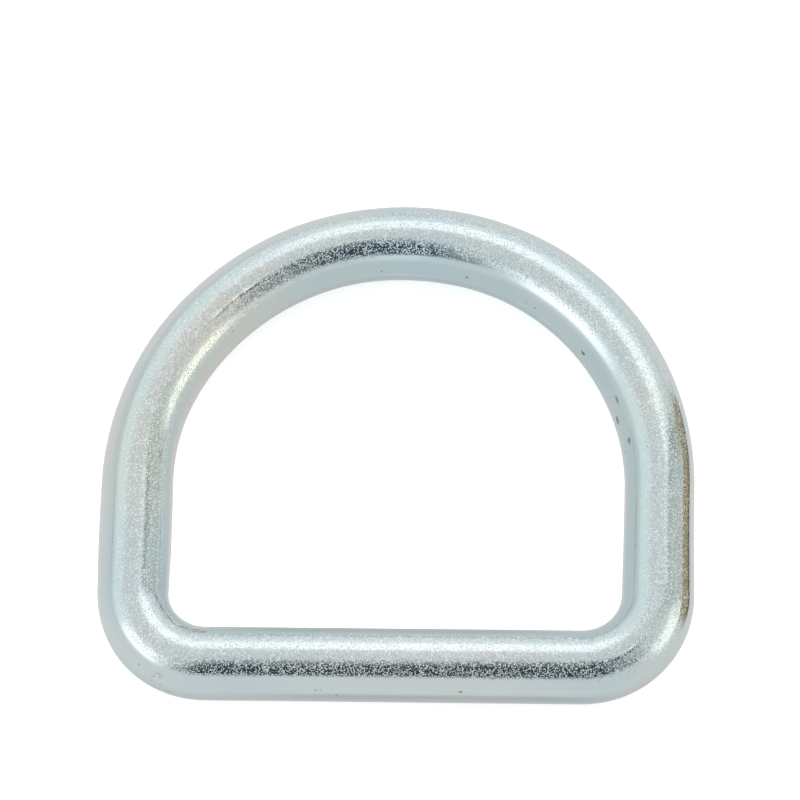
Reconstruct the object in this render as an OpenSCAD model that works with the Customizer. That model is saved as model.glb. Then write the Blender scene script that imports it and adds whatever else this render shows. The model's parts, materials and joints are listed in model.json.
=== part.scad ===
// D ring for 50 mm webbing, bent from one length of round steel bar and butt welded.
// It lies flat: +X runs along the straight bar, +Y points to the crown of the bow, +Z is up.
// The origin is on the ground plane, under the middle of the overall outline.

/* [Opening] */
// Clear width between the legs, which is the width of webbing that the bar takes
inside_w = 50; // [30:0.5:70]
// Straight length of each leg, between its corner bend and the bow
leg_len = 12.7; // [6:0.1:30]

/* [Bar] */
// Diameter of the round bar
bar_d = 8.2; // [5:0.1:10]
// Inside radius of each corner bend, where the straight bar turns into a leg
corner_in_r = 4.2; // [1:0.1:10]

/* [Hidden] */
$fn = 96;
// The bow is half a circle that is tangent to both legs, so its inside radius is half the clear width.
bow_in_r = inside_w / 2;
// Radii of the bar's own centreline
bar_r = bar_d / 2;
bow_r = bow_in_r + bar_r;
corner_r = corner_in_r + bar_r;
// The straight bar runs between the two corner bends
bar_len = inside_w - 2 * corner_in_r;
// Heights of the centreline above the straight bar: top of a corner bend, top of a leg, top of the bow
leg_start_y = corner_r;
bow_start_y = leg_start_y + leg_len;
crown_y = bow_start_y + bow_r;

// A straight stretch of bar along +X from the origin
module straight(length)
    rotate([0, 90, 0])
        cylinder(d = bar_d, h = length);

// A bend of the bar about the origin, from the angle start through the angle turn
module bend(radius, start, turn)
    rotate([0, 0, start])
        rotate_extrude(angle = turn)
            translate([radius, 0])
                circle(d = bar_d);

// The corner bend and the leg on the right-hand side
module side() {
    translate([bar_len / 2, corner_r])
        bend(corner_r, -90, 90);
    translate([bow_r, leg_start_y])
        rotate([0, 0, 90])
            straight(leg_len);
}

// The whole ring, with its centreline in the plane z = 0 and the straight bar on the X axis
module ring_on_centreline() {
    translate([-bar_len / 2, 0])
        straight(bar_len);
    side();
    mirror([1, 0, 0])
        side();
    translate([0, bow_start_y])
        bend(bow_r, 0, 180);
}

module d_ring()
    color("lightsteelblue")
        translate([0, -crown_y / 2, bar_r])
            ring_on_centreline();

d_ring();
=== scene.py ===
"""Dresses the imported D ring: one round steel bar, bent to a D, with bright zinc plate.

It lies on the pale floor of a small studio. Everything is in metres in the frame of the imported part: +X
along the straight bar, +Y towards the crown of the bow, +Z up, with the floor at zero.
"""
import json
import math
from collections import namedtuple

import bpy
import numpy as np
from bpy.props import FloatProperty, FloatVectorProperty, IntProperty, PointerProperty
from mathutils import Matrix, Vector, noise


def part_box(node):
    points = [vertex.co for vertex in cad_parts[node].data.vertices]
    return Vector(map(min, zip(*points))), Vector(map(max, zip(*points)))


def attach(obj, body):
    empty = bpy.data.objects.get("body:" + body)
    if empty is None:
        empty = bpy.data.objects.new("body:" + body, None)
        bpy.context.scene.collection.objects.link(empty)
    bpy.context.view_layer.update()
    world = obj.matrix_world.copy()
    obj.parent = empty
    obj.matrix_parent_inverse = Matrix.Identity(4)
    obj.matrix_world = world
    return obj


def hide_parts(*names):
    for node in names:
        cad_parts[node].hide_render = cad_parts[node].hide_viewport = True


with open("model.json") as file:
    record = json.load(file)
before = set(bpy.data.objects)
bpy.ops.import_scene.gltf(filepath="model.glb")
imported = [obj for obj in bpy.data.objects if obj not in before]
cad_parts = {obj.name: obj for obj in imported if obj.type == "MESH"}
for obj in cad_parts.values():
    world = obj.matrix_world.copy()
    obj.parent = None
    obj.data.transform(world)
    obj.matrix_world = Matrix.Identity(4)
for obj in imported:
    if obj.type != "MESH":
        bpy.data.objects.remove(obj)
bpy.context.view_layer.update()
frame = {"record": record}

bl_info = {
    "name": "D ring of zinc-plated bar",
    "version": (1, 0, 0),
    "blender": (4, 5, 0),
    "location": "3D View > Sidebar > D ring",
    "description": "Builds the plated ring at the size of the packed part, and the pale studio it lies in",
    "category": "Object",
}

MM = 0.001
NODE = "d_ring"

LOW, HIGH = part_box(NODE)
WEBBING_BAR = next(m for m in frame["record"]["mounts"] if m["name"] == "webbing_bar")

# Sizes of the ring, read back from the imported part
BAR_D = HIGH.z - LOW.z
CLEAR_W = HIGH.x - LOW.x - 2 * BAR_D
CORNER_IN_R = (CLEAR_W - WEBBING_BAR["dims"]["length_mm"] * MM) / 2
LEG_LEN = (HIGH.y - LOW.y) - BAR_D - (CORNER_IN_R + BAR_D / 2) - (CLEAR_W + BAR_D) / 2

# How wide the unevenness of the surface is: slow waves, small patches, and fine lines along the bar. Its
# depths are in RingSizes.
WAVE_WIDTH = 9 * MM
HAMMER_WIDTH = 1.3 * MM
LINE_WIDTH = 0.45 * MM
LINE_LENGTH = 8 * MM
# The last stretch of the bar, where its lines turn into those of the first stretch
LINE_JOIN = 12 * MM


def linear(hex_text):
    """The linear RGB value of an sRGB hex colour such as BEC8C9."""
    parts = [int(hex_text[i:i + 2], 16) / 255 for i in (0, 2, 4)]
    return tuple(c / 12.92 if c <= 0.04045 else ((c + 0.055) / 1.055) ** 2.4 for c in parts)


def size(name, text, value, low, high):
    """A length in metres that the user can change."""
    return FloatProperty(name=name, description=text, default=value, min=low, max=high,
                         subtype="DISTANCE", unit="LENGTH", precision=5)


def turn(name, text, degrees):
    """An angle that the user can change, given in degrees and kept in radians."""
    return FloatProperty(name=name, description=text, default=math.radians(degrees),
                         subtype="ANGLE", unit="ROTATION")


def colour(name, text, hex_text):
    """A colour that the user can change."""
    return FloatVectorProperty(name=name, description=text, default=linear(hex_text), size=3,
                               min=0.0, max=1.0, subtype="COLOR")


def share(name, text, value):
    """A share from nothing to one that the user can change."""
    return FloatProperty(name=name, description=text, default=value, min=0.0, max=1.0, subtype="FACTOR")


class RingSizes(bpy.types.PropertyGroup):
    """Sizes of the bent bar."""
    bar_diameter: size("Bar diameter", "Diameter of the round bar", BAR_D, 2 * MM, 20 * MM)
    clear_width: size("Clear width", "Width of webbing between the legs", CLEAR_W, 20 * MM, 100 * MM)
    corner_inside_radius: size("Corner inside radius", "Inside radius of the corner bends",
                               CORNER_IN_R, 1 * MM, 15 * MM)
    leg_length: size("Leg length", "Straight length of each leg", LEG_LEN, 1 * MM, 60 * MM)
    mesh_step: size("Mesh step", "Length of a mesh cell along the bar", 0.26 * MM, 0.1 * MM, 2 * MM)
    sides: IntProperty(name="Sides", description="Mesh cells round the bar", default=132, min=16, max=256)
    wave_depth: size("Wave depth", "Depth of the slow unevenness that bending leaves",
                     0.030 * MM, 0, 0.2 * MM)
    hammer_depth: size("Hammer depth", "Depth of the small uneven patches of the surface",
                       0.003 * MM, 0, 0.05 * MM)
    line_depth: size("Line depth", "Depth of the fine lines along the bar", 0.003 * MM, 0, 0.05 * MM)


class ZincFinish(bpy.types.PropertyGroup):
    """Colours and grain of the zinc plate."""
    zinc: colour("Zinc", "Main colour of the plate", "C7D6D8")
    blue_film: colour("Blue film", "Where the chromate film is thicker", "C3D4D9")
    warm_film: colour("Warm film", "Where the chromate film is thin", "CAD6D5")
    film_width: size("Film width", "From one soft drift of the film to the next",
                     11.1 * MM, 1 * MM, 50 * MM)
    crystal: colour("Crystals", "How much paler the palest zinc crystals in the fine pits are", "BCC0C0")
    grime: colour("Grime", "Dark dirt in scattered specks", "5B6664")
    speck_spacing: size("Speck spacing", "From one scattered speck to the next", 4.0 * MM, 1 * MM, 50 * MM)
    speck_radius: size("Speck radius", "Where a scattered speck ends", 0.12 * MM, 0.01 * MM, 1 * MM)
    speck_core: share("Speck core", "Share of that radius that is quite dark", 0.4)
    ragged_width: size("Ragged width", "Width of the notches in the edge of a speck",
                       0.25 * MM, 0.05 * MM, 2 * MM)
    ragged_depth: size("Ragged depth", "How far those notches move the edge", 0.35 * MM, 0, 2 * MM)
    roughness: share("Roughness", "Roughness of the plate", 0.14)
    pit_roughness: share("Pit roughness", "Roughness inside the fine pits", 0.52)
    pit_spacing: size("Pit spacing", "From one fine pit of the blasted steel to the next",
                      0.18 * MM, 0.05 * MM, 2 * MM)
    pit_reach: share("Pit reach", "Radius of a pit as a share of the spacing", 0.48)
    patch_width: size("Patch width", "From one patch of large pits to the next",
                      1.3 * MM, 0.3 * MM, 10 * MM)
    patch_least: share("Patch least", "Size of the pits between those patches, as a share", 0.84)
    pit_scatter: share("Pit scatter", "How unevenly the pits are spread", 1.0)
    pit_blur: share("Pit blur", "Width of a pit's edge as a share of the spacing", 0.10)
    pit_tilt: share("Pit tilt", "How far the floor of a pit leans, as a slope", 0.29)
    blast_right: turn("Blast from the right",
                      "How far to the right of straight down the shot came from", 17)
    blast_front: turn("Blast from the front",
                      "How far to the front of straight down the shot came from", 1)
    blast_full: turn("Blast full", "How far a surface may lean from the shot and be fully pitted", 36)
    blast_end: turn("Blast end", "How far a surface leans from the shot where the last pits are", 52)
    grain_width: size("Grain width", "Width of the soft pebbles between the pits",
                      0.40 * MM, 0.05 * MM, 2 * MM)
    grain_depth: size("Grain depth", "Depth of those pebbles", 0.012 * MM, 0, 0.1 * MM)


class Studio(bpy.types.PropertyGroup):
    """The pale studio and the camera."""
    floor: colour("Floor", "Matt card that the ring lies on", "F6F6F6")
    floor_glow: share("Floor glow", "Light that shines up through the card", 0.5)
    sheen: share("Table sheen", "Share of clear sheen in the floor as the plate mirrors it", 0.6)
    mirrored_card: colour("Mirrored card", "The floor as the plate mirrors it", "C8CBCC")
    bar_shade: colour("Bar shade", "Shaded strip of the floor before the bar, as the plate mirrors it",
                      "CBCDCE")
    warm_room: colour("Warm room", "The room behind and to the right", "ECE9E7")
    cool_room: colour("Cool room", "The room in front and to the left", "E8ECEF")
    warm_table: colour("Warm table", "Sheen of the table behind and to the right", "F9F0ED")
    cool_table: colour("Cool table", "Sheen of the table in front and to the left", "ECEFF2")
    wood: colour("Wood", "Brown lath at the right that the plate mirrors", "BEAA80")
    wood_foot: colour("Foot of the wood", "Shaded foot of that lath", "5F594F")
    bar_card: colour("Bar card", "Slightly shaded card behind the straight bar", "E0E2E3")
    inner_card: colour("Inner card", "Pale card inside the ring that its inner sides mirror", "E7ECED")
    rim: colour("Rim", "Thin dark rim of that card", "6C787E")
    key_power: FloatProperty(name="Key power", description="Power of the soft light behind the ring",
                             default=18.0, min=0.0, max=100.0, unit="POWER")
    key_polar: turn("Key angle", "How far from straight up the soft light stands", 50)
    key_azimuth: turn("Key heading", "How far anticlockwise from +X the soft light stands", 85)
    key_distance: size("Key distance", "From the middle of the floor to the soft light", 1.2, 0.2, 5)
    key_width: size("Key width", "Side of the square soft light", 1.2, 0.1, 5)
    camera_distance: size("Camera distance", "From the camera to the ring", 704 * MM, 0.1, 5)
    camera_elevation: turn("Camera elevation", "Angle of the camera above the floor", 69.3)
    camera_azimuth: turn("Camera azimuth", "How far the camera stands to the right", 9.7)
    camera_roll: turn("Camera roll", "How far the camera is turned about its own axis", -8.62)
    aim_x: FloatProperty(name="Aim X", description="Where the camera looks, along the bar",
                         default=-0.07 * MM, unit="LENGTH", precision=5)
    aim_y: FloatProperty(name="Aim Y", description="Where the camera looks, towards the crown",
                         default=6.14 * MM, unit="LENGTH", precision=5)
    lens: FloatProperty(name="Lens", description="Focal length in millimetres, on a frame 36 mm wide",
                        default=283.2, min=10.0, unit="CAMERA")


# A straight run or a bend of the bar's centreline: its length, and how far it turns left
Run = namedtuple("Run", "length turned")


def runs_of(sizes):
    """The runs of the centreline, anticlockwise from the middle of the straight bar."""
    bar_r = sizes.bar_diameter / 2
    corner_r = sizes.corner_inside_radius + bar_r
    half_bar = sizes.clear_width / 2 - sizes.corner_inside_radius
    bow_r = sizes.clear_width / 2 + bar_r
    corner = Run(corner_r * math.pi / 2, math.pi / 2)
    leg = Run(sizes.leg_length, 0)
    bow = Run(bow_r * math.pi, math.pi)
    return [Run(half_bar, 0), corner, leg, bow, leg, corner, Run(half_bar, 0)]


def centreline(sizes):
    """Rows of distance, x, y and heading at even steps along the closed centreline, and its length."""
    runs = runs_of(sizes)
    total = sum(run.length for run in runs)
    rows = round(total / sizes.mesh_step)
    height = sizes.corner_inside_radius + sizes.bar_diameter / 2 + sizes.leg_length
    height += (sizes.clear_width + sizes.bar_diameter) / 2
    x, y, heading = 0.0, -height / 2, 0.0
    start = 0.0
    points = []
    for run in runs:
        inside = [i * total / rows for i in range(rows)
                  if start <= i * total / rows < start + run.length]
        bend = run.turned / run.length
        for s in inside + [start + run.length]:
            t = s - start
            if bend:
                px = x + (math.sin(heading + bend * t) - math.sin(heading)) / bend
                py = y - (math.cos(heading + bend * t) - math.cos(heading)) / bend
            else:
                px = x + t * math.cos(heading)
                py = y + t * math.sin(heading)
            points.append((s, px, py, heading + bend * t))
        x, y, heading = points.pop()[1:]
        start += run.length
    return np.array(points), total


# Where bending has drawn the bar thinner or upset it thicker, in millimetres: the middle and the reach
# along the centreline, and how far the outside and the inside of the ring stand out there
Swell = namedtuple("Swell", "name at reach outside inside")
SWELLS = (
    Swell("right leg", 45, 11, -0.20, -0.18),
    Swell("right shoulder", 76, 12, 0.12, 0.0),
    Swell("crown", 90, 7, 0.0, 0.19),
    Swell("left shoulder", 114, 6, -0.13, 0.0),
    Swell("left leg", 129, 9, -0.14, -0.27),
    Swell("left corner", 152, 4.5, -0.15, -0.11),
)
# How steeply a swell falls away from the outside or the inside of the ring towards its faces
SWELL_FALL = 5


def swelling(line, angle):
    """How far the bar stands out from its plain round, at each row and each angle of the mesh."""
    side = np.cos(angle)[None, :]
    outside = np.clip(side, 0, 1) ** SWELL_FALL
    inside = np.clip(-side, 0, 1) ** SWELL_FALL
    total = 0
    for swell in SWELLS:
        near = np.exp(-((line[:, :1] / MM - swell.at) / swell.reach) ** 2)
        total = total + near * (swell.outside * outside + swell.inside * inside) * MM
    return total


def drawing_lines(line, total, angle, radius):
    """Fine lines that drawing left along the bar, from -1 to 1.

    They turn into each other where the bar closes.
    """
    def at(a, s):
        across = math.cos(a) * radius / LINE_WIDTH, math.sin(a) * radius / LINE_WIDTH
        return noise.noise((*across, s / LINE_LENGTH))

    lines = []
    for s in line[:, 0]:
        last = min(1.0, max(0.0, (s - total + LINE_JOIN) / LINE_JOIN))
        lines.append([(1 - last) * at(a, s) + last * at(a, s - total) for a in angle])
    return np.array(lines)


def relief(points, sizes):
    """How far each point of the mesh sinks below the round bar, from uneven bending and rolling."""
    slow = np.array([noise.noise(Vector(p) / WAVE_WIDTH) for p in points])
    quick = np.array([noise.noise(Vector(p) / HAMMER_WIDTH) for p in points])
    sunk = sizes.wave_depth * (0.5 - 0.5 * slow)
    return sunk + sizes.hammer_depth * (0.5 - 0.5 * quick)


def ring_mesh(sizes):
    """The whole ring as one closed mesh with no ends."""
    line, total = centreline(sizes)
    rows, sides = len(line), sizes.sides
    bar_r = sizes.bar_diameter / 2
    heading = line[:, 3]
    out = np.stack([np.sin(heading), -np.cos(heading), np.zeros(rows)], 1)
    middle = np.stack([line[:, 1], line[:, 2], np.full(rows, bar_r)], 1)
    angle = np.arange(sides) * 2 * math.pi / sides
    rounds = np.cos(angle)[None, :, None] * out[:, None, :]
    rounds = rounds + np.sin(angle)[None, :, None] * np.array([0, 0, 1.0])
    full = middle[:, None, :] + bar_r * rounds
    sunk = relief(full.reshape(-1, 3), sizes).reshape(rows, sides)
    sunk = sunk + sizes.line_depth * (0.5 - 0.5 * drawing_lines(line, total, angle, bar_r))
    reach = bar_r + swelling(line, angle) - sunk
    co = (middle[:, None, :] + reach[:, :, None] * rounds).reshape(-1, 3)
    i = np.arange(rows)[:, None]
    j = np.arange(sides)[None, :]
    after = (i + 1) % rows
    beside = (j + 1) % sides
    corners = [i * sides + j, after * sides + j, after * sides + beside, i * sides + beside]
    faces = np.stack(corners, -1).reshape(-1, 4)
    mesh = bpy.data.meshes.new(NODE + "_plated")
    mesh.vertices.add(len(co))
    mesh.vertices.foreach_set("co", co.ravel())
    mesh.loops.add(faces.size)
    mesh.loops.foreach_set("vertex_index", faces.ravel())
    mesh.polygons.add(len(faces))
    mesh.polygons.foreach_set("loop_start", np.arange(0, faces.size, 4))
    mesh.polygons.foreach_set("use_smooth", np.ones(len(faces), bool))
    mesh.update(calc_edges=True)
    mesh.validate()
    return mesh


def add(tree, kind, inputs=None, **settings):
    """Adds a node with its settings. An input is a value, or the output that feeds it."""
    made = tree.nodes.new(kind)
    for key, value in settings.items():
        setattr(made, key, value)
    for key, value in (inputs or {}).items():
        if isinstance(value, bpy.types.NodeSocket):
            tree.links.new(value, made.inputs[key])
        else:
            made.inputs[key].default_value = value
    return made


def new_material(name):
    """A material with an empty node tree, and that tree."""
    made = bpy.data.materials.new(name)
    made.use_nodes = True
    made.node_tree.nodes.clear()
    return made, made.node_tree


# A mark or drift of the plate: its middle as millimetres along the centreline, anticlockwise from the
# middle of the straight bar, and degrees round the bar from the outside over the top; its half length along
# and half width round the bar in millimetres; its colour; how strong it is; the share of its half size over
# which it fades; and how many degrees it is turned to the left
Mark = namedtuple("Mark", "name along angle long wide paint strong fade turned", defaults=(0,))
# Large soft drifts of the chromate film
FILMS = (
    Mark("pale film on the bar", 2, 30, 27, 7, "D4DBDA", 1.0, 0.7),
    Mark("pale film on the left corner", 158, 15, 19, 7, "D3DBDA", 1.0, 0.8),
    Mark("warm film on the left shoulder", 118, 142, 17, 7, "D5D8D1", 1.0, 0.9),
    Mark("warm film outside the right leg", 42, 4, 15, 2.2, "DDD2D1", 0.8, 0.6),
    Mark("warm film outside the left leg", 136, 0, 24, 1.8, "DAD2D2", 0.7, 0.6),
    Mark("pale film outside the left leg", 138, 18, 20, 4, "D2D8D8", 0.6, 0.7),
    Mark("dull film inside the left corner", 153, 152, 8, 2.6, "BDC9CB", 0.8, 0.8),
    Mark("pale film on the right shoulder", 71, 126, 9, 3.5, "D4DADC", 0.6, 0.8),
    Mark("warm film on the left leg", 137, 110, 11, 9, "CED6D1", 0.8, 0.8),
    Mark("blue film on the crown", 93, 123, 10, 1.6, "DAEEF5", 1.0, 0.9),
)
# Specks, stains and fine lines, with ragged edges. The dark line inside the left corner and the faint
# dark lines on the right leg, its corner and inside the left leg are painted reflection: they stand in for
# the shaded line where the other side of the ring meets the floor, as the plate mirrors it.
SPECKS = (
    Mark("dark speck", 65.25, 153.6, 0.42, 0.25, "5E6C6A", 0.9, 0.5),
    Mark("grey speck", 57.35, 138.7, 0.66, 0.29, "88969A", 0.8, 0.6),
    Mark("cluster of specks", 51.7, 138.0, 0.60, 0.28, "6E7C84", 0.8, 0.6),
    Mark("tiny speck", 50.15, 105.7, 0.14, 0.12, "707A7C", 0.8, 0.5),
    Mark("reddish speck", 55.1, 156.3, 0.68, 0.40, "82646A", 0.8, 0.6),
    Mark("rust", 7.68, 28.2, 0.25, 0.16, "B07A28", 1.0, 0.4),
    Mark("rust stain", 7.70, 27.0, 0.43, 0.26, "BFA887", 0.5, 0.8),
    Mark("reddish tint", 10.1, 70.0, 0.87, 0.58, "8A4A4E", 0.5, 0.8),
    Mark("left grey dot", 176.25, 29.2, 0.16, 0.14, "707C78", 0.8, 0.5),
    Mark("right grey dot", 176.75, 28.6, 0.16, 0.14, "66726E", 0.8, 0.5),
    Mark("faint dot", 178.5, 17.7, 0.17, 0.16, "8A9290", 0.7, 0.5),
    Mark("dot under the crown", 95.1, 159.5, 0.17, 0.17, "7F8E90", 0.8, 0.5),
    Mark("dot right of the crown", 83.95, 155.2, 0.32, 0.26, "84928E", 0.7, 0.6),
    Mark("reddish tint on the left leg", 135.5, 130.1, 0.65, 0.32, "A88884", 0.5, 0.8),
    Mark("speck on the left corner", 160.45, 18.3, 0.14, 0.13, "7A8280", 0.8, 0.5),
    Mark("stroke of the smudge", 160.3, 35.0, 0.10, 0.52, "8A9092", 0.6, 0.7),
    Mark("curl of the smudge", 160.1, 39.7, 0.30, 0.10, "7C8486", 0.6, 0.7, 30),
    Mark("dot right of the smudge", 160.5, 39.2, 0.14, 0.14, "8A9294", 0.6, 0.7),
    Mark("dot left of the smudge", 159.7, 17.8, 0.22, 0.18, "8A9294", 0.6, 0.7),
    Mark("brown side of the smudge", 159.75, 31.5, 0.55, 0.30, "B4ACA2", 0.5, 0.8, 40),
    Mark("brown edge under the smudge", 161.1, 8.7, 0.90, 0.35, "B9AC9E", 0.4, 0.8),
    # Painted reflection: these five parts draw a dark line along the inner flank of the left corner. It
    # stands in for the shaded line where the other side of the ring meets the floor, as the plate mirrors
    # it.
    Mark("start of the crease", 153.4, 132.5, 0.65, 0.15, "6E7C82", 0.9, 0.8, 16),
    Mark("second part of the crease", 155.2, 133.6, 1.05, 0.14, "66747A", 0.95, 0.8, -3),
    Mark("middle of the crease", 157.6, 131.1, 1.20, 0.13, "5C6A70", 0.95, 0.8, -9),
    Mark("fourth part of the crease", 160.3, 131.3, 1.25, 0.13, "5E6E70", 0.95, 0.8, 10),
    Mark("end of the crease", 162.7, 136.0, 1.05, 0.13, "707E82", 0.85, 0.8, 15),
    # Painted reflection: these three dark lines stand in for the shaded line where the other side of the
    # ring meets the floor, as the plate mirrors it.
    Mark("faint line on the right leg", 40.0, 127, 7.5, 0.06, "8A989C", 0.5, 0.6),
    Mark("faint line on the right corner", 30.3, 125, 2.0, 0.07, "8A989C", 0.6, 0.7),
    Mark("faint line inside the left leg", 146.3, 139.2, 8.5, 0.08, "8A989C", 0.5, 0.7, 1.5),
    Mark("dotted line outside the left leg", 143.5, 57.8, 10, 0.06, "94A0A2", 0.4, 0.7),
    Mark("dark grains along the left leg", 142.5, 112.2, 10, 0.32, "7C868A", 0.3, 0.9, 0.6),
    Mark("pale line inside the crown", 91.5, 168.5, 5.5, 0.08, "E8EFF2", 0.5, 0.8),
    Mark("fine pale line", 75.2, 162.0, 2.0, 0.07, "F2F6F6", 0.5, 0.9, 4),
    Mark("second pale line", 72.5, 166.0, 1.9, 0.07, "F2F6F6", 0.6, 0.9, 4),
    Mark("third pale line", 69.0, 160.5, 1.4, 0.07, "F2F6F6", 0.6, 0.9, -4),
    Mark("speck by the pale lines", 74.1, 153.7, 0.18, 0.15, "74847E", 0.7, 0.6),
    Mark("faint speck by the pale lines", 75.5, 153.5, 0.15, 0.13, "8A9896", 0.6, 0.6),
    Mark("rim of the chip", 11.1, 53.5, 0.38, 0.14, "59605F", 0.8, 0.6),
)
# A nick tilts the plate so that it mirrors another part of the room. Its place and size are given as those
# of a mark, and then come the slopes that it adds to the right and to the back.
Nick = namedtuple("Nick", "name along angle long wide fade right back turned", defaults=(0,))
NICKS = (
    Nick("ridge near the crown", 111.7, 107.2, 1.2, 0.09, 0.6, 0.05, 0.35),
    Nick("ridge in the middle", 113.9, 106.6, 1.3, 0.10, 0.6, 0.05, 0.40),
    Nick("ridge at the left", 116.3, 106.2, 1.3, 0.09, 0.6, 0.05, 0.35),
    Nick("foot of the ridge", 111.2, 109.4, 1.5, 0.08, 0.6, 0.05, -0.30),
    Nick("end of the ridge", 109.6, 107.6, 0.5, 0.07, 0.6, 0.05, -0.30),
    Nick("scratch on the right leg", 40.0, 92.6, 0.06, 0.30, 0.6, 0.10, 0.30),
    Nick("chip on the bar", 11.1, 56.5, 0.24, 0.14, 0.5, 0.0, 0.35),
)
GLINT = Mark("amber glint on the ridge", 114.2, 106.4, 0.34, 0.14, "E8B070", 0.9, 0.5)

# The values of a noise between which the steel with the smallest pits turns into a patch of the largest
PIT_PATCH_NOISE = (0.35, 0.6)
# The values of a noise at which the film has its bluest, its main and its warmest colour
FILM_NOISE = (0.35, 0.5, 0.65)


def nearness(tree, millimetres, mark, strong, line):
    """A mask that is strong in the middle of a mark on the bar and fades out towards its edge."""
    s = mark.along * MM
    x, y, heading = (np.interp(s, line[:, 0], line[:, k]) for k in (1, 2, 3))
    round_bar = math.radians(mark.angle)
    up = Vector((0, 0, 1))
    outside = Vector((math.sin(heading), -math.cos(heading), 0))
    forward = Vector((math.cos(heading), math.sin(heading), 0))
    normal = outside * math.cos(round_bar) + up * math.sin(round_bar)
    place = Vector((x, y, BAR_D / 2)) + normal * BAR_D / 2
    axes = Matrix((forward, normal.cross(forward), normal)).transposed()
    axes = axes @ Matrix.Rotation(math.radians(mark.turned), 3, "Z")
    placed = add(tree, "ShaderNodeMapping",
                 {"Vector": millimetres, "Location": place / MM, "Rotation": axes.to_euler(),
                  "Scale": (mark.long, mark.wide, max(mark.long, mark.wide))},
                 vector_type="TEXTURE").outputs[0]
    away = add(tree, "ShaderNodeVectorMath", {0: placed}, operation="LENGTH").outputs["Value"]
    return add(tree, "ShaderNodeMapRange",
               {"Value": away, "From Min": 1.0, "From Max": 1.0 - mark.fade, "To Max": strong},
               interpolation_type="SMOOTHSTEP").outputs[0]


def painted(tree, millimetres, paint, marks, line):
    """The paint with these marks over it."""
    for mark in marks:
        near = nearness(tree, millimetres, mark, mark.strong, line)
        paint = add(tree, "ShaderNodeMix", {0: near, 6: paint, 7: (*linear(mark.paint), 1)},
                    data_type="RGBA").outputs[2]
    return paint


def struck_by_shot(tree, finish, normal):
    """A mask of the plate that the shot struck: full on both faces of the ring, none on its flanks."""
    shot = Vector((math.tan(finish.blast_right), -math.tan(finish.blast_front), 1)).normalized()
    straight = add(tree, "ShaderNodeVectorMath", {0: normal, 1: shot},
                   operation="DOT_PRODUCT").outputs["Value"]
    straight = add(tree, "ShaderNodeMath", {0: straight}, operation="ABSOLUTE").outputs[0]
    return add(tree, "ShaderNodeMapRange",
               {"Value": straight, "From Min": math.cos(finish.blast_end),
                "From Max": math.cos(finish.blast_full)},
               interpolation_type="SMOOTHSTEP").outputs[0]


def fine_pits(tree, finish, millimetres, struck):
    """A mask of the pits, and a random colour for each of them that says how it leans and how pale it is.

    Fine shot leaves one pit beside the other, which gives the sparkle its grain. The pits are larger in
    some soft patches than between them.
    """
    cells = add(tree, "ShaderNodeTexVoronoi",
                {"Vector": millimetres, "Scale": MM / finish.pit_spacing,
                 "Randomness": finish.pit_scatter})
    patches = add(tree, "ShaderNodeTexNoise",
                  {"Vector": millimetres, "Scale": MM / finish.patch_width, "Detail": 1.0}).outputs[0]
    patches = add(tree, "ShaderNodeMapRange",
                  {"Value": patches, "From Min": PIT_PATCH_NOISE[0], "From Max": PIT_PATCH_NOISE[1],
                   "To Min": finish.patch_least}).outputs[0]
    pitted = add(tree, "ShaderNodeMath", {0: struck, 1: patches}, operation="MULTIPLY").outputs[0]
    edge = add(tree, "ShaderNodeMapRange",
               {"Value": pitted, "To Min": -finish.pit_blur, "To Max": finish.pit_reach}).outputs[0]
    depth = add(tree, "ShaderNodeMath", {0: edge, 1: cells.outputs["Distance"]},
                operation="SUBTRACT").outputs[0]
    pits = add(tree, "ShaderNodeMapRange",
               {"Value": depth, "From Min": -finish.pit_blur, "From Max": finish.pit_blur},
               interpolation_type="SMOOTHSTEP").outputs[0]
    return pits, cells.outputs["Color"]


def plate_facing(tree, finish, millimetres, struck, pits, chance, line):
    """The way that the plate faces, with soft pebbles, the leaning floors of the pits, and nicks."""
    grain = add(tree, "ShaderNodeTexNoise",
                {"Vector": millimetres, "Scale": MM / finish.grain_width, "Detail": 1.0,
                 "Roughness": 0.5}).outputs[0]
    grain = add(tree, "ShaderNodeMath", {0: grain, 1: struck}, operation="MULTIPLY").outputs[0]
    bump = add(tree, "ShaderNodeBump", {"Height": grain, "Strength": 1.0, "Distance": finish.grain_depth})
    lean = add(tree, "ShaderNodeVectorMath", {0: chance, 1: (0.5, 0.5, 0.5)},
               operation="SUBTRACT").outputs[0]
    reach = add(tree, "ShaderNodeMath", {0: pits, 1: 2 * finish.pit_tilt}, operation="MULTIPLY").outputs[0]
    slopes = [add(tree, "ShaderNodeVectorMath", {0: lean, "Scale": reach}, operation="SCALE").outputs[0]]
    for nick in NICKS:
        near = nearness(tree, millimetres, nick, 1.0, line)
        slopes.append(add(tree, "ShaderNodeVectorMath", {0: (nick.right, nick.back, 0), "Scale": near},
                          operation="SCALE").outputs[0])
    facing = bump.outputs["Normal"]
    for slope in slopes:
        facing = add(tree, "ShaderNodeVectorMath", {0: facing, 1: slope}, operation="ADD").outputs[0]
    return add(tree, "ShaderNodeVectorMath", {0: facing}, operation="NORMALIZE").outputs[0]


def chromate_film(tree, finish, millimetres, line):
    """The tint of the thin clear film on the zinc: soft drifts from bluish to warm, and the large marks."""
    cloud = add(tree, "ShaderNodeTexNoise",
                {"Vector": millimetres, "Scale": MM / finish.film_width, "Detail": 3.0,
                 "Roughness": 0.5}).outputs[0]
    tint = add(tree, "ShaderNodeValToRGB", {"Fac": cloud})
    stops = tint.color_ramp.elements
    stops.new(FILM_NOISE[1])
    for stop, place, paint in zip(stops, FILM_NOISE, (finish.blue_film, finish.zinc, finish.warm_film)):
        stop.position = place
        stop.color = (*paint, 1)
    return painted(tree, millimetres, tint.outputs["Color"], FILMS, line)


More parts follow.
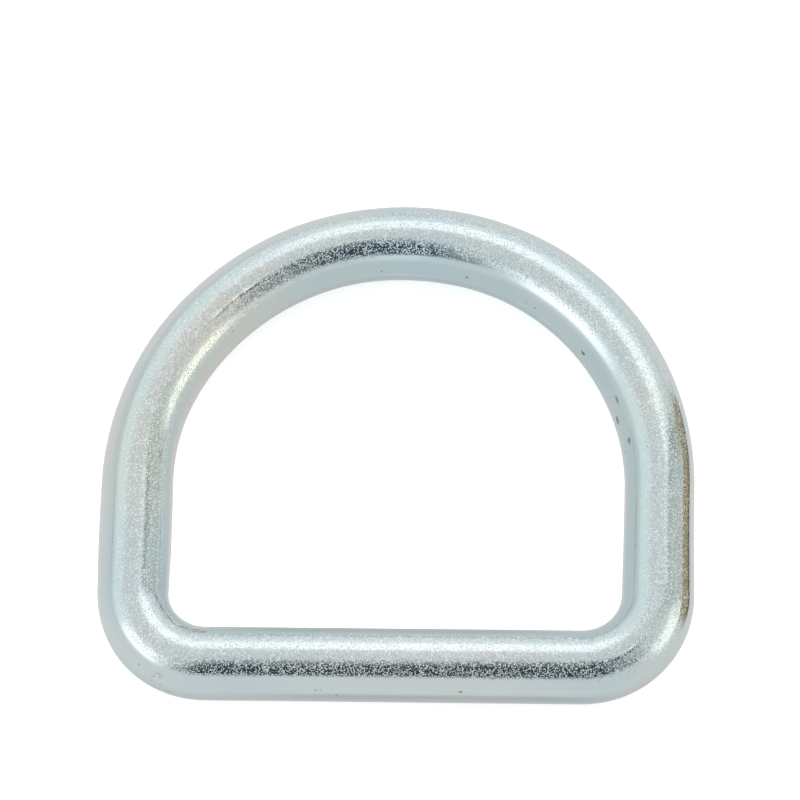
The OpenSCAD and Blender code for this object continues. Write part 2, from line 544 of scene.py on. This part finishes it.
def ragged_places(tree, finish, millimetres):
    """The places on the plate, moved a little here and there, so that what they draw has a ragged edge."""
    wander = add(tree, "ShaderNodeTexNoise",
                 {"Vector": millimetres, "Scale": MM / finish.ragged_width, "Detail": 2.0}).outputs["Color"]
    wander = add(tree, "ShaderNodeVectorMath", {0: wander, 1: (0.5, 0.5, 0.5)},
                 operation="SUBTRACT").outputs[0]
    wander = add(tree, "ShaderNodeVectorMath", {0: wander, "Scale": finish.ragged_depth / MM},
                 operation="SCALE").outputs[0]
    return add(tree, "ShaderNodeVectorMath", {0: millimetres, 1: wander}, operation="ADD").outputs[0]


def scattered_specks(tree, finish, ragged):
    """A mask of the dark specks that lie all over the plate."""
    away = add(tree, "ShaderNodeTexVoronoi",
               {"Vector": ragged, "Scale": MM / finish.speck_spacing}).outputs["Distance"]
    radius = finish.speck_radius / finish.speck_spacing
    return add(tree, "ShaderNodeMapRange",
               {"Value": away, "From Min": radius, "From Max": radius * finish.speck_core},
               interpolation_type="SMOOTHSTEP").outputs[0]


def zinc_plated_steel(finish, line):
    """Bright zinc plate over blasted steel.

    Both faces of the ring were shot blasted at a slant before it was plated. The thin plate follows the
    fine pits, which sparkle and break up every edge of light and dark. On the flanks that the shot missed
    it is smooth and mirrors the room cleanly. Each pattern's scale is one over its real width in
    millimetres, and none is so fine that it has to be drawn coarser.
    """
    made, tree = new_material("bright zinc-plated steel")
    place = add(tree, "ShaderNodeTexCoord")
    millimetres = add(tree, "ShaderNodeVectorMath", {0: place.outputs["Object"], "Scale": 1 / MM},
                      operation="SCALE").outputs[0]
    struck = struck_by_shot(tree, finish, place.outputs["Normal"])
    pits, chance = fine_pits(tree, finish, millimetres, struck)
    frosted = add(tree, "ShaderNodeMapRange",
                  {"Value": pits, "To Min": finish.roughness, "To Max": finish.pit_roughness}).outputs[0]
    facing = plate_facing(tree, finish, millimetres, struck, pits, chance, line)

    film = chromate_film(tree, finish, millimetres, line)
    pale = add(tree, "ShaderNodeSeparateXYZ", {0: chance}).outputs["Z"]
    pale = add(tree, "ShaderNodeMath", {0: pits, 1: pale}, operation="MULTIPLY").outputs[0]
    paint = add(tree, "ShaderNodeMix", {0: pale, 6: film, 7: (*finish.crystal, 1)},
                data_type="RGBA", blend_type="SCREEN").outputs[2]
    ragged = ragged_places(tree, finish, millimetres)
    speck = scattered_specks(tree, finish, ragged)
    paint = add(tree, "ShaderNodeMix", {0: speck, 6: paint, 7: (*finish.grime, 1)},
                data_type="RGBA").outputs[2]
    paint = painted(tree, ragged, paint, SPECKS, line)
    paint = painted(tree, millimetres, paint, (GLINT,), line)
    shader = add(tree, "ShaderNodeBsdfPrincipled",
                 {"Base Color": paint, "Metallic": 1.0, "Roughness": frosted, "Normal": facing})
    add(tree, "ShaderNodeOutputMaterial", {"Surface": shader.outputs["BSDF"]})
    return made


# Half the side of the square floor
FLOOR_REACH = 3.0
# How far the floor that the plate mirrors lies above the one that the camera sees
MIRROR_LIFT = 0.02 * MM
# Matt paper scatters nearly all that it mirrors
PAPER_ROUGHNESS = 0.9


def flat_sheet(name):
    """A square sheet on the ground, as large as the floor."""
    corners = [(-FLOOR_REACH, -FLOOR_REACH, 0), (FLOOR_REACH, -FLOOR_REACH, 0),
               (FLOOR_REACH, FLOOR_REACH, 0), (-FLOOR_REACH, FLOOR_REACH, 0)]
    made = bpy.data.meshes.new(name)
    made.from_pydata(corners, [], [(0, 1, 2, 3)])
    return made


# A band that stands inside the ring, with its foot, its top and its two ends along the centreline, in
# millimetres, and how strongly it shines. It goes all the way round where both ends are the same.
Band = namedtuple("Band", "name low high start end strength")
CARD_BAND = Band("inner_card", 0, 8.1, 0, 0, 0.92)
RIM_BAND = Band("inner_card_rim", 8.1, 8.27, 128, 56, 1.0)
# From the centreline to the bands, and how many rows of it each of their faces spans
BAND_INSET = 8.2 * MM
BAND_ROWS = 6


def standing_band(band, sizes):
    """The mesh of a band that stands inside the ring, in line with its centreline."""
    line, total = centreline(sizes)
    line = line[::BAND_ROWS]
    inner = [(x - BAND_INSET * math.sin(heading), y + BAND_INSET * math.cos(heading))
             for _, x, y, heading in line]
    count = len(inner)
    start, end = band.start * MM, band.end * MM
    stretch = (end - start) % total or total
    verts = [(x, y, z * MM) for z in (band.low, band.high) for x, y in inner]
    faces = [(i, (i + 1) % count, count + (i + 1) % count, count + i) for i in range(count)
             if (line[i][0] - start) % total < stretch]
    made = bpy.data.meshes.new(band.name)
    made.from_pydata(verts, [], faces)
    return made


def matt_card(studio):
    """Plain matt paper card, lit a little from beneath, so that it looks even and its shadows stay soft."""
    made, tree = new_material("matt white card")
    shader = add(tree, "ShaderNodeBsdfPrincipled",
                 {"Base Color": (*studio.floor, 1), "Roughness": PAPER_ROUGHNESS,
                  "Emission Strength": studio.floor_glow})
    add(tree, "ShaderNodeOutputMaterial", {"Surface": shader.outputs["BSDF"]})
    return made


def sheer_card(studio):
    """The floor as the plate mirrors it: partly a matt card with the ring's shadow, partly clear sheen.

    The sheen lets the colour of the table through, which the world gives below the horizon.
    """
    made, tree = new_material("sheer matt card")
    shader = add(tree, "ShaderNodeBsdfPrincipled",
                 {"Base Color": (*studio.mirrored_card, 1), "Roughness": PAPER_ROUGHNESS})
    clear = add(tree, "ShaderNodeBsdfTransparent")
    both = add(tree, "ShaderNodeMixShader",
               {0: studio.sheen, 1: shader.outputs["BSDF"], 2: clear.outputs["BSDF"]})
    add(tree, "ShaderNodeOutputMaterial", {"Surface": both.outputs["Shader"]})
    return made


# The azimuth of the coolest side of the room in degrees, and the cosines of the angle to it at which the
# cool colour starts and is full
COOL_SIDE = 232
COOL_COSINES = (0.1, 0.5)
# Half the height over which the table turns into the room at the horizon
HORIZON = 0.05


def soft_room(studio):
    """Even light from all round, a little cooler in front and to the left than behind and to the right."""
    made = bpy.data.worlds.new("soft room")
    made.use_nodes = True
    tree = made.node_tree
    tree.nodes.clear()
    heading = add(tree, "ShaderNodeTexCoord").outputs["Generated"]
    facing = add(tree, "ShaderNodeVectorMath", {0: heading, 1: towards(90, COOL_SIDE)},
                 operation="DOT_PRODUCT").outputs["Value"]
    cool_side = add(tree, "ShaderNodeMapRange",
                    {"Value": facing, "From Min": COOL_COSINES[0], "From Max": COOL_COSINES[1]},
                    interpolation_type="SMOOTHSTEP").outputs[0]
    height = add(tree, "ShaderNodeSeparateXYZ", {0: heading}).outputs["Z"]
    above = add(tree, "ShaderNodeMapRange", {"Value": height, "From Min": -HORIZON, "From Max": HORIZON},
                interpolation_type="SMOOTHSTEP").outputs[0]
    halves = ((studio.warm_table, studio.cool_table), (studio.warm_room, studio.cool_room))
    table, room = (add(tree, "ShaderNodeMix", {0: cool_side, 6: (*warm, 1), 7: (*cool, 1)},
                       data_type="RGBA").outputs[2] for warm, cool in halves)
    paint = add(tree, "ShaderNodeMix", {0: above, 6: table, 7: room}, data_type="RGBA").outputs[2]
    light = add(tree, "ShaderNodeBackground", {"Color": paint, "Strength": 1.0})
    add(tree, "ShaderNodeOutputWorld", {"Surface": light.outputs["Background"]})
    return made


def glow(name, paint, strength):
    """Card that shines evenly in one colour, so that the plate mirrors it as a clean flat tone."""
    made, tree = new_material(name)
    shader = add(tree, "ShaderNodeEmission", {"Color": (*paint, 1), "Strength": strength})
    add(tree, "ShaderNodeOutputMaterial", {"Surface": shader.outputs["Emission"]})
    return made


def put(name, mesh, material):
    """Adds a mesh to the scene as an object with one material."""
    mesh.materials.append(material)
    made = bpy.data.objects.new(name, mesh)
    bpy.context.scene.collection.objects.link(made)
    return made


def towards(polar, azimuth):
    """The direction at polar degrees from straight up and azimuth degrees anticlockwise from +X."""
    p, a = math.radians(polar), math.radians(azimuth)
    return Vector((math.sin(p) * math.cos(a), math.sin(p) * math.sin(a), math.cos(p)))


# What the plate mirrors, as patches of the sky round the ring: polar degrees from straight up, azimuth
# degrees anticlockwise from +X, soft width of those edges in degrees, lean of the azimuth from the first
# polar to the last, colour and strength. The first patches stand nearest, in front of the later ones.
Patch = namedtuple("Patch", "name polar azimuth soft lean paint strength")
PATCHES = (
    Patch("dark_edge", (32, 64), (29, 34), (6, 2), 2, "66726F", 1.0),
    Patch("brown_edge", (56, 90), (25, 34), (8, 3), 0, "B4AB8C", 1.0),
    Patch("grey_edge", (26, 84), (26, 33), (4, 2), 0, "C6C7BE", 1.0),
    Patch("grey_screen", (18, 82), (4, 36), (8, 6), 0, "D2D4D2", 1.0),
    Patch("small_glint", (10, 17), (336, 368), (2, 8), 0, "FFFFFF", 1.6),
    Patch("dark_screen", (16, 55), (247, 276), (5, 9), 0, "313D45", 1.0),
    Patch("dark_screen_right", (14, 52.5), (262, 304), (4, 10), 0, "3A464E", 1.0),
    Patch("dark_screen_top", (2, 26), (262, 316), (5, 10), 0, "525C60", 1.0),
    Patch("grey_strip", (14, 25), (306, 357), (3, 10), 0, "626A6C", 1.0),
    Patch("dark_screen_side", (4, 58), (230, 334), (4, 14), 0, "949EA2", 1.0),
    Patch("table_edge", (68, 75), (122, 205), (3, 16), 0, "DFE3E4", 1.0),
    Patch("right_light", (46, 91), (322, 377), (13, 18), 0, "FFFCF4", 1.60),
    Patch("left_light", (29, 68), (175, 224), (9, 12), 9, "FFFCFC", 1.62),
    Patch("crown_light", (26, 59), (36, 116), (6, 12), 0, "FFF9F9", 1.60),
    Patch("crown_glow", (24, 80), (30, 142), (12, 14), 0, "F6FCFF", 1.04),
    Patch("left_glow", (26, 70), (124, 240), (12, 14), 0, "F8FFFF", 1.03),
)
# How far the first patch is from the ring, and how much farther each next one is
NEAREST_PATCH = 0.70
PATCH_GAP = 0.03
# Faces down and along each card with soft edges
CARD_STEPS = 24


def faded_card(name, place, soft, paint, strength):
    """Puts up a glowing card that fades out at its edges, as a soft box or a screen does in bright metal.

    The place gives a point of the card for a share of the way down and a share of the way along it, and
    soft is the share of the card that fades at the ends of each.
    """
    verts = []
    cover = []
    for i in range(CARD_STEPS + 1):
        for j in range(CARD_STEPS + 1):
            down, along = i / CARD_STEPS, j / CARD_STEPS
            verts.append(place(down, along))
            fade = min(1.0, min(down, 1 - down) / soft[0]) * min(1.0, min(along, 1 - along) / soft[1])
            cover.append(fade * fade * (3 - 2 * fade))
    wide = CARD_STEPS + 1
    faces = [(i * wide + j, i * wide + j + 1, (i + 1) * wide + j + 1, (i + 1) * wide + j)
             for i in range(CARD_STEPS) for j in range(CARD_STEPS)]
    sheet = bpy.data.meshes.new(name)
    sheet.from_pydata(verts, [], faces)
    sheet.attributes.new("cover", "FLOAT", "POINT").data.foreach_set("value", cover)
    made, tree = new_material(name.replace("_", " "))
    shine = add(tree, "ShaderNodeEmission", {"Color": (*paint, 1), "Strength": strength})
    clear = add(tree, "ShaderNodeBsdfTransparent")
    edge = add(tree, "ShaderNodeAttribute", attribute_name="cover")
    both = add(tree, "ShaderNodeMixShader",
               {0: edge.outputs["Fac"], 1: clear.outputs["BSDF"], 2: shine.outputs["Emission"]})
    add(tree, "ShaderNodeOutputMaterial", {"Surface": both.outputs["Shader"]})
    card = put(name, sheet, made)
    mirrored_only(card)


def sky_patch(patch, far):
    """A patch of a sphere round the ring, whose edges fade out."""
    (top, bottom), (right, left) = patch.polar, patch.azimuth

    def place(down, along):
        azimuth = right + (left - right) * along + patch.lean * down
        return towards(top + (bottom - top) * down, azimuth) * far

    soft = (patch.soft[0] / (bottom - top), patch.soft[1] / (left - right))
    faded_card(patch.name, place, soft, linear(patch.paint), patch.strength)


# Flat cards close to the ring that its plate mirrors: one corner, the way down and the way along from it,
# all in millimetres, the shares that fade, and how strongly they shine
NearCard = namedtuple("NearCard", "name corner down along soft strength")
LATH = NearCard("wood_lath", (43, -23, 9), (0, 0, -9), (0, 41, 0), (0.15, 0.12), 0.80)
LATH_FOOT = NearCard("lath_foot", (42.6, -22, 2.6), (0, 0, -3.4), (0, 40, 0), (0.35, 0.12), 0.80)
BAR_CARD = NearCard("bar_card", (-24, -17.3, 6.9), (0, 0, -8.1), (46, 0, 0), (0.3, 0.25), 0.82)
BAR_SHADE = NearCard("bar_shade", (-18, -39, 0.04), (0, 10.5, 0), (46, 0, 0), (0.45, 0.25), 1.0)


def near_card(card, paint):
    """Puts up one of the cards close to the ring."""
    corner, down, along = (Vector(v) * MM for v in (card.corner, card.down, card.along))
    faded_card(card.name, lambda a, b: corner + down * a + along * b, card.soft, paint, card.strength)


def mirrored_only(obj):
    """Shows a card in reflections alone, so that it darkens no other light."""
    obj.visible_camera = False
    obj.visible_diffuse = False
    obj.visible_shadow = False
    obj.visible_transmission = False
    obj.visible_volume_scatter = False


def lay_floor(studio):
    """Lays the floor that the camera sees, and just above it the one that the plate mirrors."""
    floor = put("floor", flat_sheet("floor"), matt_card(studio))
    floor.visible_glossy = False
    mirrored = put("mirrored_floor", flat_sheet("mirrored_floor"), sheer_card(studio))
    mirrored.location.z = MIRROR_LIFT
    mirrored_only(mirrored)


def hang_key_light(studio):
    """Hangs the soft light behind the ring. The plate mirrors the patches in its place."""
    lamp = bpy.data.lights.new("key_light", "AREA")
    lamp.size = studio.key_width
    lamp.energy = studio.key_power
    key = bpy.data.objects.new("key_light", lamp)
    heading = towards(math.degrees(studio.key_polar), math.degrees(studio.key_azimuth))
    key.location = heading * studio.key_distance
    key.rotation_euler = key.location.to_track_quat("Z", "Y").to_euler()
    key.visible_glossy = False
    bpy.context.scene.collection.objects.link(key)


def stand_bands(studio, sizes):
    """Stands the pale card and its dark rim inside the ring."""
    for strip, paint in ((CARD_BAND, studio.inner_card), (RIM_BAND, studio.rim)):
        material = glow(strip.name.replace("_", " "), paint, strip.strength)
        band = put(strip.name, standing_band(strip, sizes), material)
        mirrored_only(band)


# Width of the camera's frame, in millimetres as its lens, and the nearest that it sees, in metres
FRAME_WIDTH = 36
NEAREST_SEEN = 0.01


def place_camera(studio):
    """Places the camera at the photograph's viewing angle."""
    azimuth, elevation = studio.camera_azimuth, studio.camera_elevation
    back = Vector((math.sin(azimuth) * math.cos(elevation),
                   -math.cos(azimuth) * math.cos(elevation),
                   math.sin(elevation)))
    camera = bpy.data.objects.new("camera", bpy.data.cameras.new("camera"))
    camera.location = Vector((studio.aim_x, studio.aim_y, BAR_D / 2)) + back * studio.camera_distance
    level = back.to_track_quat("Z", "Y").to_matrix().to_4x4()
    camera.rotation_euler = (level @ Matrix.Rotation(studio.camera_roll, 4, "Z")).to_euler()
    camera.data.lens = studio.lens
    camera.data.sensor_width = FRAME_WIDTH
    camera.data.clip_start = NEAREST_SEEN
    bpy.context.scene.collection.objects.link(camera)
    bpy.context.scene.camera = camera


class DRING_OT_build_ring(bpy.types.Operator):
    """Builds the bent bar with its zinc plate, in place of the plain solid"""
    bl_idname = "dring.build_ring"
    bl_label = "Build ring"

    def execute(self, context):
        sizes = context.scene.ring_sizes
        plate = zinc_plated_steel(context.scene.zinc_finish, centreline(sizes)[0])
        ring = put("plated_ring", ring_mesh(sizes), plate)
        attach(ring, "root")
        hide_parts(NODE)
        return {"FINISHED"}


class DRING_OT_build_studio(bpy.types.Operator):
    """Lays the floor, sets the soft lights and cards round the ring, and places the camera"""
    bl_idname = "dring.build_studio"
    bl_label = "Build studio"

    def execute(self, context):
        studio = context.scene.ring_studio
        lay_floor(studio)
        context.scene.world = soft_room(studio)
        context.scene.view_settings.view_transform = "Standard"
        hang_key_light(studio)
        for i, patch in enumerate(PATCHES):
            sky_patch(patch, NEAREST_PATCH + PATCH_GAP * i)
        near_card(LATH, studio.wood)
        near_card(LATH_FOOT, studio.wood_foot)
        near_card(BAR_CARD, studio.bar_card)
        near_card(BAR_SHADE, studio.bar_shade)
        stand_bands(studio, context.scene.ring_sizes)
        place_camera(studio)
        return {"FINISHED"}


class DRING_PT_panel(bpy.types.Panel):
    """Sizes, finish and studio of the ring"""
    bl_idname = "DRING_PT_panel"
    bl_label = "D ring"
    bl_space_type = "VIEW_3D"
    bl_region_type = "UI"
    bl_category = "D ring"

    def draw(self, context):
        for step, names in ((DRING_OT_build_ring, ("ring_sizes", "zinc_finish")),
                            (DRING_OT_build_studio, ("ring_studio",))):
            box = self.layout.box()
            for name in names:
                group = getattr(context.scene, name)
                for key in group.bl_rna.properties.keys():
                    if key not in ("name", "rna_type"):
                        box.prop(group, key)
            box.operator(step.bl_idname)


CLASSES = (RingSizes, ZincFinish, Studio, DRING_OT_build_ring, DRING_OT_build_studio, DRING_PT_panel)


def register():
    """Makes the classes known and gives the scene their values."""
    for each in CLASSES:
        bpy.utils.register_class(each)
    bpy.types.Scene.ring_sizes = PointerProperty(type=RingSizes)
    bpy.types.Scene.zinc_finish = PointerProperty(type=ZincFinish)
    bpy.types.Scene.ring_studio = PointerProperty(type=Studio)


def unregister():
    """Takes back what register did."""
    del bpy.types.Scene.ring_studio
    del bpy.types.Scene.zinc_finish
    del bpy.types.Scene.ring_sizes
    for each in reversed(CLASSES):
        bpy.utils.unregister_class(each)


def main():
    """Builds the ring and the studio."""
    register()
    bpy.ops.dring.build_ring()
    bpy.ops.dring.build_studio()


if __name__ == "__main__":
    main()
